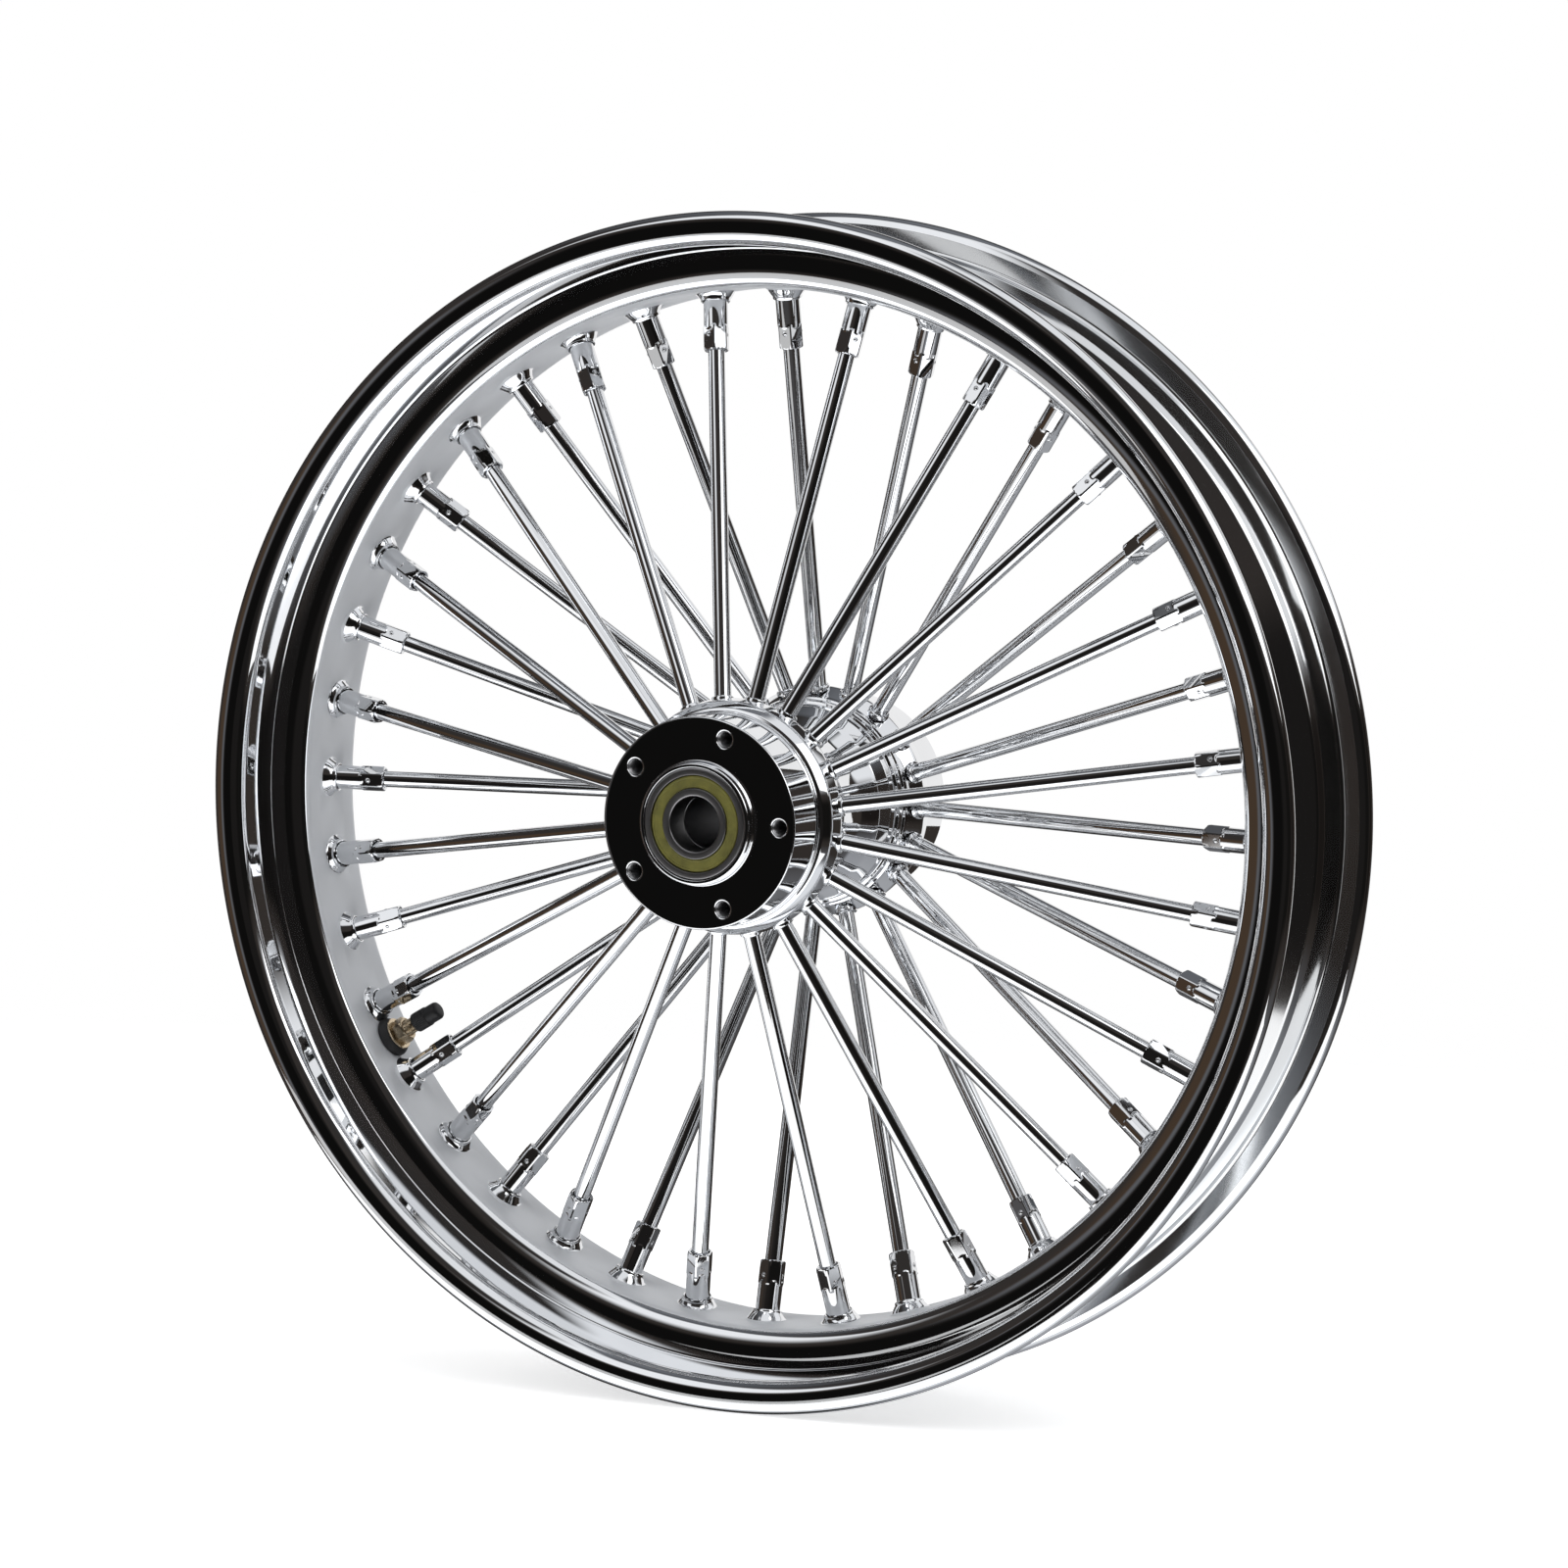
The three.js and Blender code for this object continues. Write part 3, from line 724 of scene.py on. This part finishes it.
# ---- Wheel bearings ----
# Sealed ball bearings of ground steel, one pressed into each end of the hub: an outer ring
# that turns with the wheel, an inner ring clamped on the axle, and olive rubber seals.
def plain_material(name, colour, roughness, rough_spread, scale, depth):
    """Moulded rubber or plastic: uneven colour and a fine matt skin."""
    material = bpy.data.materials.new(name)
    material.use_nodes = True
    tree = material.node_tree
    skin = tree.nodes["Principled BSDF"]
    place = add_node(tree, "ShaderNodeTexCoord")
    blotch = add_node(tree, "ShaderNodeTexNoise", Scale=scale * 0.12, Detail=5.0)
    link(tree, place, "Object", blotch, "Vector")
    fine = add_node(tree, "ShaderNodeTexNoise", Scale=scale, Detail=3.0)
    link(tree, place, "Object", fine, "Vector")
    tint = ramp(tree, [(0.32, tuple(c * 0.72 for c in colour)), (0.68, tuple(c * 1.15 for c in colour))])
    link(tree, blotch, "Fac", tint, "Fac")
    link(tree, tint, "Color", skin, "Base Color")
    dull = add_node(tree, "ShaderNodeMapRange")
    dull.inputs["To Min"].default_value = roughness
    dull.inputs["To Max"].default_value = roughness + rough_spread
    link(tree, fine, "Fac", dull, "Value")
    link(tree, dull, "Result", skin, "Roughness")
    relief = add_node(tree, "ShaderNodeBump", Strength=1.0, Distance=depth)
    link(tree, fine, "Fac", relief, "Height")
    link(tree, relief, "Normal", skin, "Normal")
    return material


def turned_metal(name, colour, roughness, ring_scale, ring_depth):
    """Metal with the fine rings that a lathe or grinder leaves round the axle."""
    material = metal(name, colour, roughness, 0.16, 1800.0)
    tree = material.node_tree
    plate = tree.nodes["Principled BSDF"]
    place = add_node(tree, "ShaderNodeTexCoord")
    split = add_node(tree, "ShaderNodeSeparateXYZ")
    link(tree, place, "Object", split, "Vector")
    flat = add_node(tree, "ShaderNodeCombineXYZ")
    link(tree, split, "X", flat, "X")
    link(tree, split, "Z", flat, "Z")
    reach = add_node(tree, "ShaderNodeVectorMath", operation="LENGTH")
    link(tree, flat, "Vector", reach, "Vector")
    both = add_node(tree, "ShaderNodeCombineXYZ")
    tree.links.new(reach.outputs["Value"], both.inputs["X"])
    link(tree, split, "Y", both, "Y")
    rings = add_node(tree, "ShaderNodeTexNoise", Scale=ring_scale, Detail=3.0)
    link(tree, both, "Vector", rings, "Vector")
    relief = add_node(tree, "ShaderNodeBump", Strength=1.0, Distance=ring_depth)
    link(tree, rings, "Fac", relief, "Height")
    link(tree, relief, "Normal", plate, "Normal")
    return material


bearing_steel = turned_metal("bearing_steel", (0.30, 0.295, 0.30), 0.34, 2400.0, 0.000012)
ball_steel = metal("ball_steel", (0.62, 0.63, 0.64), 0.08, 0.08, 900.0)
seal_rubber = plain_material("seal_rubber", (0.17, 0.16, 0.03), 0.5, 0.2, 1600.0, 0.00003)


def turned_piece(name, corners, side, steps, materials, body, stands_for=(), sharp_deg=32):
    """A closed outline of [radius, y, corner radius] turned about the axle on one side."""
    shape = bmesh.new()
    spin_rows(shape, [(p[0], side * p[1]) for p in rounded(corners, True, 4)], steps, closed=True)
    return finish_piece(name, shape, materials, body, stands_for, sharp_deg)


bearing_face, bearing_width, ball_pitch, ball_radius = 86.0, 15.0, 19.25, 3.97
inner_face = bearing_face - bearing_width
bearing_middle = bearing_face - bearing_width / 2
groove = ball_radius * 1.03
ball_count = 9
bore_radius, ring_radius = 12.7, 25.98
outer_land, inner_land = 22.25, 16.5
track_edge, track_step = 44, 11
cage_steps, cage_half_width, cage_half_wall = 216, 1.5, 0.28
cage_gap, pocket_depth, pocket_roundness = 0.35, ball_radius * 0.98, 0.7
ring_steps = 128


def groove_rows(sign):
    """The ball track of a ring; sign is +1 on the outer ring and -1 on the inner ring."""
    rows = []
    for degrees in range(-track_edge, track_edge + 1, track_step):
        angle = math.radians(degrees)
        radius = ball_pitch + sign * groove * math.cos(angle)
        rows.append((radius, bearing_middle + groove * math.sin(angle), 0))
    return rows


def cage_ring(shape, side, half, wall, over):
    """One edge of a ribbon of the cage, bulging over the balls: half is 1 outwards, -1 inwards."""
    ring = []
    for k in range(cage_steps):
        angle = math.tau * k / cage_steps
        pocket = max(0.0, math.cos(ball_count * angle)) ** pocket_roundness
        lift = cage_gap + pocket * pocket_depth
        y = side * (bearing_middle + half * lift + wall)
        ring.append(shape.verts.new(wheel_point(ball_pitch + over, angle, y)))
    return ring


for side in (front_side, rear_side):
    word = side_words[side]
    turned_piece(f"{word}_outer_ring", [
        (outer_land + 0.25, inner_face, 0.2), (ring_radius, inner_face, 0.9),
        (ring_radius, bearing_face, 0.9), (outer_land + 0.45, bearing_face, 0.25),
        (outer_land + 0.35, bearing_face - 1.5, 0.1),
        (outer_land - 0.2, bearing_face - 2.4, 0.2), *reversed(groove_rows(1)),
        (outer_land - 0.2, inner_face + 2.4, 0.2), (outer_land + 0.35, inner_face + 1.5, 0.1),
    ], side, ring_steps, [bearing_steel], "wheel", [f"{word}_bearing_outer_ring"])
    turned_piece(f"{word}_inner_ring", [
        (bore_radius, inner_face, 0.9), (inner_land - 0.1, inner_face, 0.35),
        (inner_land - 0.1, inner_face + 2.4, 0.2), *groove_rows(-1),
        (inner_land - 0.1, bearing_face - 2.4, 0.2), (inner_land - 0.1, bearing_face, 0.35),
        (bore_radius, bearing_face, 0.9),
    ], side, ring_steps, [bearing_steel], "axle_core", [f"{word}_bearing_inner_ring"])
    for place_word, outward, at in (("outer", 1, bearing_face - 0.7), ("inner", -1, inner_face + 0.7)):
        turned_piece(f"{word}_{place_word}_seal", [
            (inner_land + 0.12, at - outward * 0.5, 0.1), (inner_land + 0.12, at - outward * 0.15, 0.15),
            (inner_land + 0.75, at + outward * 0.02, 0.2), (inner_land + 1.1, at - outward * 0.22, 0.15),
            (outer_land - 1.3, at - outward * 0.22, 0.2), (outer_land - 0.95, at + outward * 0.1, 0.2),
            (outer_land - 0.3, at + outward * 0.05, 0.2), (outer_land + 0.15, at - outward * 0.5, 0.2),
            (outer_land + 0.1, at - outward * 1.0, 0.2), (inner_land + 1.5, at - outward * 1.1, 0.2),
        ], side, ring_steps, [seal_rubber], "wheel", [f"{word}_bearing_{place_word}_seal"])

    shape = bmesh.new()
    for i in range(ball_count):
        spot = Matrix.Translation(wheel_point(ball_pitch, math.tau * i / ball_count, side * bearing_middle))
        bmesh.ops.create_icosphere(shape, subdivisions=4, radius=ball_radius * mm, matrix=spot)
    for half in (1, -1):
        cage = []
        for wall in (cage_half_wall, -cage_half_wall):
            for over in (-cage_half_width, cage_half_width):
                cage.append(cage_ring(shape, side, half, wall, over))
        for a, b in ((0, 1), (1, 3), (3, 2), (2, 0)):
            loop_strip(shape, cage[a], cage[b])
    finish_piece(f"{word}_ball_set", shape, [ball_steel], f"{word}_balls",
                 [f"{word}_bearing_ball_set"])


# ---- Bearing spacer ----
# A plain turned steel tube on the axle that keeps the two inner rings apart, with a
# chamfer at each end and a shallow relief along the middle.
spacer_steel = turned_metal("spacer_steel", (0.42, 0.42, 0.43), 0.3, 1500.0, 0.00002)
spacer_end = inner_face - 0.05
spacer_half = [(bore_radius, spacer_end, 0.5), (15.6, spacer_end, 0.6), (15.6, 52, 0.4), (15.0, 50, 0.6)]
spacer_outline = [*spacer_half, *[(r, -y, b) for r, y, b in reversed(spacer_half)]]
turned_piece("spacer_tube", spacer_outline, 1, ring_steps, [spacer_steel], "axle_core",
             ["bearing_spacer_tube"])


# ---- Tyre valve ----
# A bolt-in valve midway between two spokes: a black rubber grommet on the rim, a thin
# washer and hexagon nut, a threaded brass stem with its spring core, and a plastic cap.
valve_rubber = plain_material("valve_rubber", (0.018, 0.018, 0.019), 0.5, 0.25, 1400.0, 0.00004)
valve_plastic = plain_material("valve_plastic", (0.012, 0.012, 0.013), 0.42, 0.2, 2200.0, 0.00002)
valve_brass = metal("valve_brass", (0.62, 0.51, 0.36), 0.20, 0.3, 1200.0, 260.0, 0.000008)
valve_angle = math.radians(210)
valve_line = Vector((math.cos(valve_angle), 0, math.sin(valve_angle)))
valve_matrix = valve_line.to_track_quat("Z", "Y").to_matrix().to_4x4()
stem_radius, thread_lead = 3.85, 0.79
stem_thread_radius, thread_depth, thread_tip, thread_foot = 3.8, 0.42, 216.6, 240.5
nut_flat, nut_face_radius = 5.7, 5.0
rib_radius, rib_count, rib_depth, rib_tip, rib_foot = 4.7, 28, 0.22, 221.2, 227.9


def valve_piece(name, outline, steps, material, body, stands_for=(), section=None, sharp_deg=30):
    """A piece on the valve's line from (radius, distance from the axle) points."""
    mesh = rod_mesh(name, outline, steps, material, sharp_deg, section)
    return place_mesh(name, mesh, body, stands_for, valve_matrix)


def threaded(angle, radius, z):
    """The stem's screw thread, between its plain foot and its tip."""
    if radius < stem_thread_radius or z > thread_foot or z < thread_tip:
        return radius
    turn = (z / thread_lead + angle / math.tau) % 1.0
    return radius - thread_depth * abs(2 * turn - 1)


def hexagon(angle, radius, z):
    """Spanner flats with the corners turned off at both ends."""
    offset = (angle + math.pi / 6) % (math.pi / 3) - math.pi / 6
    return min(radius, nut_flat / math.cos(offset)) if radius > nut_face_radius else radius


def ribbed(angle, radius, z):
    """Grip ribs round the wide skirt of the cap."""
    if radius < rib_radius or z < rib_tip or z > rib_foot:
        return radius
    return radius - rib_depth * (0.5 + 0.5 * math.cos(rib_count * angle)) ** 2


valve_piece("valve_grommet", [
    (3.9, 240.3), (7.2, 240.3), (7.9, 240.6), (8.6, 241.2), (9.6, 242.6), (9.95, 243.6), (9.95, 244.6),
    (9.5, 245.2), (6.0, 245.3), (5.7, 246), (5.7, 248.2), (8.2, 248.3), (8.6, 248.7), (8.6, 249.9),
    (8.1, 250.6), (3.9, 250.7), (3.9, 240.3)], 64, valve_rubber, "wheel", ["valve_grommet"])
stem_rows = [(stem_radius, 216.5 + 0.11 * k) for k in range(220)]
valve_piece("valve_stem", [
    (2.45, 216.6), (2.5, 216.1), (2.9, 215.9), (3.45, 216.0), (3.7, 216.3), *stem_rows,
    (stem_radius, 241), (stem_radius, 250.8), (7.2, 250.9), (7.6, 251.3), (7.6, 252.4), (7.2, 252.8),
    (2.8, 252.8), (2.45, 252.4), (2.45, 216.6)], 48, valve_brass, "wheel", ["valve_stem"],
    threaded, 50)
valve_piece("valve_nut", [
    (3.95, 234.4), (4.3, 233.9), (5.1, 233.7), (5.6, 233.9), (6.1, 234.3), (6.6, 234.9), (6.6, 237.5),
    (6.6, 238.8), (6.1, 239.4), (5.5, 239.6), (3.95, 239.6), (3.95, 234.4)], 96, valve_brass, "wheel",
    ["valve_nut"], hexagon, 24)
valve_piece("valve_washer", [
    (3.95, 239.6), (7.9, 239.6), (8.15, 239.8), (8.15, 240.2), (7.9, 240.4), (3.95, 240.4), (3.95, 239.6)],
    64, valve_brass, "wheel")
valve_piece("valve_core_body", [
    (1.35, 218.2), (1.7, 218.0), (2.2, 218.1), (2.3, 218.4), (2.3, 221), (2.05, 221.4), (2.05, 222.6),
    (2.3, 223), (2.3, 225.6), (2.0, 226), (1.35, 226), (1.35, 218.2)], 40, valve_brass, "wheel",
    ["valve_core"])
valve_piece("valve_core_pin", [
    (0, 216.4), (0.6, 216.4), (0.85, 216.7), (0.85, 226.2), (1.2, 226.4), (2.0, 226.5), (2.1, 226.8),
    (2.1, 227.6), (1.8, 228), (0, 228)], 32, valve_brass, "valve_pin", ["valve_core_pin"])
valve_piece("valve_cap", [
    (0, 213.2), (2.4, 213.25), (3.4, 213.5), (4.1, 214.0), (4.45, 214.8), (4.5, 216), (4.5, 219.8),
    (4.55, 220.4), (4.85, 220.7), (4.9, 221.2), (4.9, 221.5), (4.9, 224.6), (4.9, 227.6), (4.9, 227.9),
    (4.8, 228.3), (4.5, 228.5), (4.15, 228.4), (3.95, 228.0), (3.95, 215.2), (3.4, 214.9), (0, 214.9)],
    168, valve_plastic,
    "valve_cap", ["valve_cap"], ribbed, 34)
